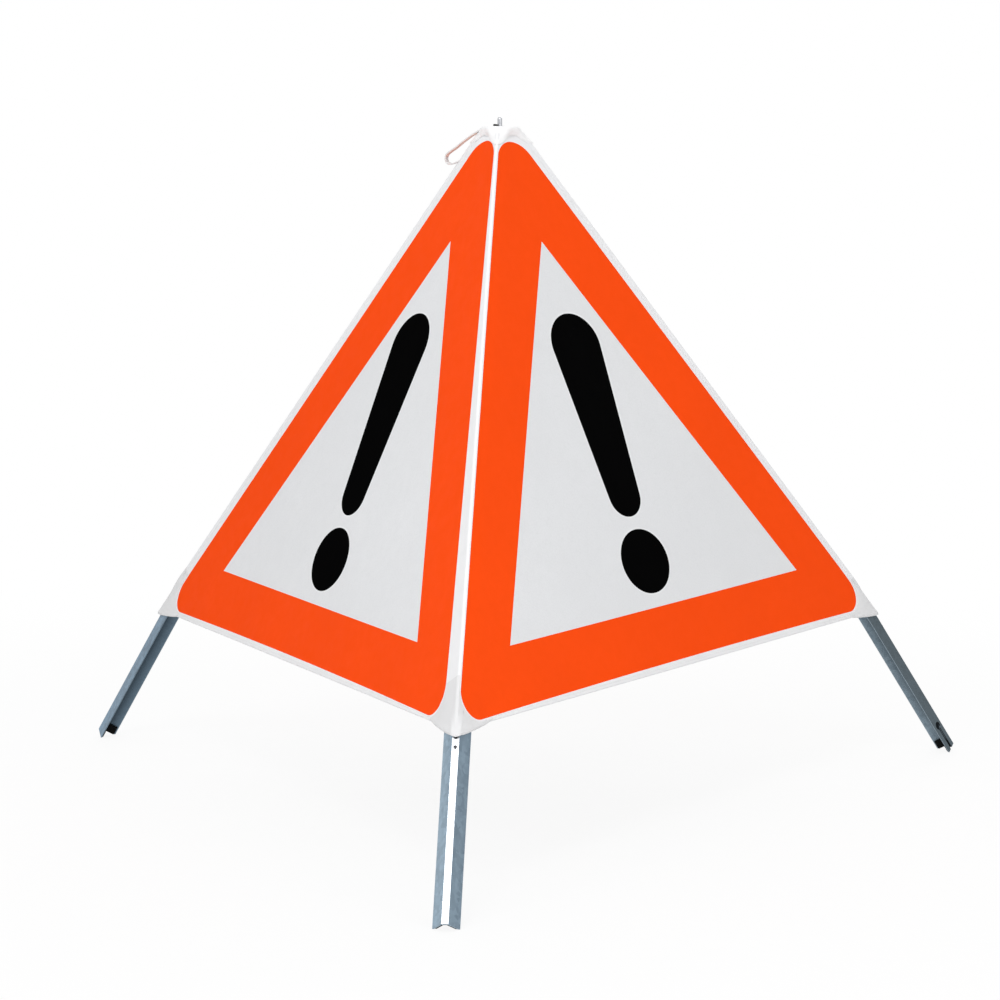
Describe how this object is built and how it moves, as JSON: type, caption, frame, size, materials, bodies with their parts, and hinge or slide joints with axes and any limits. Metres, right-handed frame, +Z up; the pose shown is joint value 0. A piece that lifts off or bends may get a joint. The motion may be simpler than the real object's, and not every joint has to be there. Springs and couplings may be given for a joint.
{
  "type": "folding roadworks sign frame",
  "caption": "Folding tripod road sign: bent channel legs hinged under a small head, an umbrella-type sprung spreader and a three-sided cloth cover with a printed warning triangle.",
  "frame": {"origin": "on the ground under the head, where the axis of the mast meets the plane of the foot ends", "axes": "+Z up along the mast, -Y towards the front leg, +X to the right when looking at the front leg"},
  "size_m": [1.1954, 1.0382, 0.8713],
  "materials": {
    "galvanised_steel": "matt hot-dip galvanised, streaky grey",
    "bright_zinc": "bright zinc plated",
    "cast_zinc": "cast, plated grey",
    "spring_steel": "oiled spring wire",
    "dark_plastic": "moulded nylon",
    "black_rubber": "matt moulded rubber",
    "dark_rivet": "dark rivet heads",
    "printed_cloth": "coated cloth printed with an orange triangle, white field and black danger mark",
    "white_cloth": "white coated cloth, sewn",
    "white_webbing": "woven webbing"
  },
  "bodies": {
    "head": {"head_hub": "cast_zinc", "lamp_pin": "bright_zinc", "mast": "bright_zinc", "stop_collar": "cast_zinc", "spring": "spring_steel", "spring_washer": "bright_zinc", "mast_nut": "bright_zinc", "cover_cap": "white_cloth", "carry_strap": "white_webbing"},
    "runner": {"runner": "cast_zinc", "runner_pins": "bright_zinc"},
    "leg_front": {"leg_front": "galvanised_steel", "hinge_pin_front": "bright_zinc", "strut_pin_front": "bright_zinc", "pivot_washers_front": "dark_plastic", "foot_plug_front": "black_rubber", "pocket_rivets_front": "dark_rivet", "ridge_sleeve_front": "white_cloth", "corner_pocket_front": "white_cloth", "panel_front_to_right": "printed_cloth", "panel_front_to_left": "printed_cloth"},
    "strut_front": {"strut_front": "galvanised_steel"},
    "leg_right": {"leg_right": "galvanised_steel", "hinge_pin_right": "bright_zinc", "strut_pin_right": "bright_zinc", "pivot_washers_right": "dark_plastic", "foot_plug_right": "black_rubber", "pocket_rivets_right": "dark_rivet", "ridge_sleeve_right": "white_cloth", "corner_pocket_right": "white_cloth", "panel_right_to_front": "printed_cloth", "panel_right_to_left": "printed_cloth"},
    "strut_right": {"strut_right": "galvanised_steel"},
    "leg_left": {"leg_left": "galvanised_steel", "hinge_pin_left": "bright_zinc", "strut_pin_left": "bright_zinc", "pivot_washers_left": "dark_plastic", "foot_plug_left": "black_rubber", "pocket_rivets_left": "dark_rivet", "ridge_sleeve_left": "white_cloth", "corner_pocket_left": "white_cloth", "panel_left_to_front": "printed_cloth", "panel_left_to_right": "printed_cloth"},
    "strut_left": {"strut_left": "galvanised_steel"}
  },
  "joints": [
    {"name": "fold_front", "type": "hinge", "parent": "head", "child": "leg_front", "pos_m": [0, -0.01952, 0.84394], "axis": [1, 0, 0], "range_deg": [0, 37.5], "stiffness_Nm_per_rad": 1.5, "springref_deg": -57.3, "deforming": ["spring", "panel_front_to_right", "panel_front_to_left", "panel_right_to_front", "panel_right_to_left", "panel_left_to_front", "panel_left_to_right", "cover_cap"]},
    {"name": "fold_right", "type": "hinge", "parent": "head", "child": "leg_right", "pos_m": [0.0169, 0.00976, 0.84394], "axis": [-0.5, 0.866, 0], "range_deg": [0, 37.5]},
    {"name": "fold_left", "type": "hinge", "parent": "head", "child": "leg_left", "pos_m": [-0.0169, 0.00976, 0.84394], "axis": [-0.5, -0.866, 0], "range_deg": [0, 37.5]},
    {"name": "strut_front", "type": "hinge", "parent": "leg_front", "child": "strut_front", "pos_m": [0, -0.19724, 0.62758], "axis": [1, 0, 0], "range_deg": [-75, 0]},
    {"name": "strut_right", "type": "hinge", "parent": "leg_right", "child": "strut_right", "pos_m": [0.17082, 0.09862, 0.62758], "axis": [-0.5, 0.866, 0], "range_deg": [-75, 0]},
    {"name": "strut_left", "type": "hinge", "parent": "leg_left", "child": "strut_left", "pos_m": [-0.17082, 0.09862, 0.62758], "axis": [-0.5, -0.866, 0], "range_deg": [-75, 0]},
    {"name": "runner_pivot", "type": "hinge", "parent": "strut_front", "child": "runner", "pos_m": [0, -0.01952, 0.41121], "axis": [1, 0, 0], "range_deg": [0, 37.5]}
  ],
  "couplings": [
    {"joint": "fold_right", "follows": "fold_front", "ratio": 1},
    {"joint": "fold_left", "follows": "fold_front", "ratio": 1},
    {"joint": "strut_front", "follows": "fold_front", "ratio": -2},
    {"joint": "strut_right", "follows": "fold_front", "ratio": -2},
    {"joint": "strut_left", "follows": "fold_front", "ratio": -2},
    {"joint": "runner_pivot", "follows": "fold_front", "ratio": 1}
  ]
}
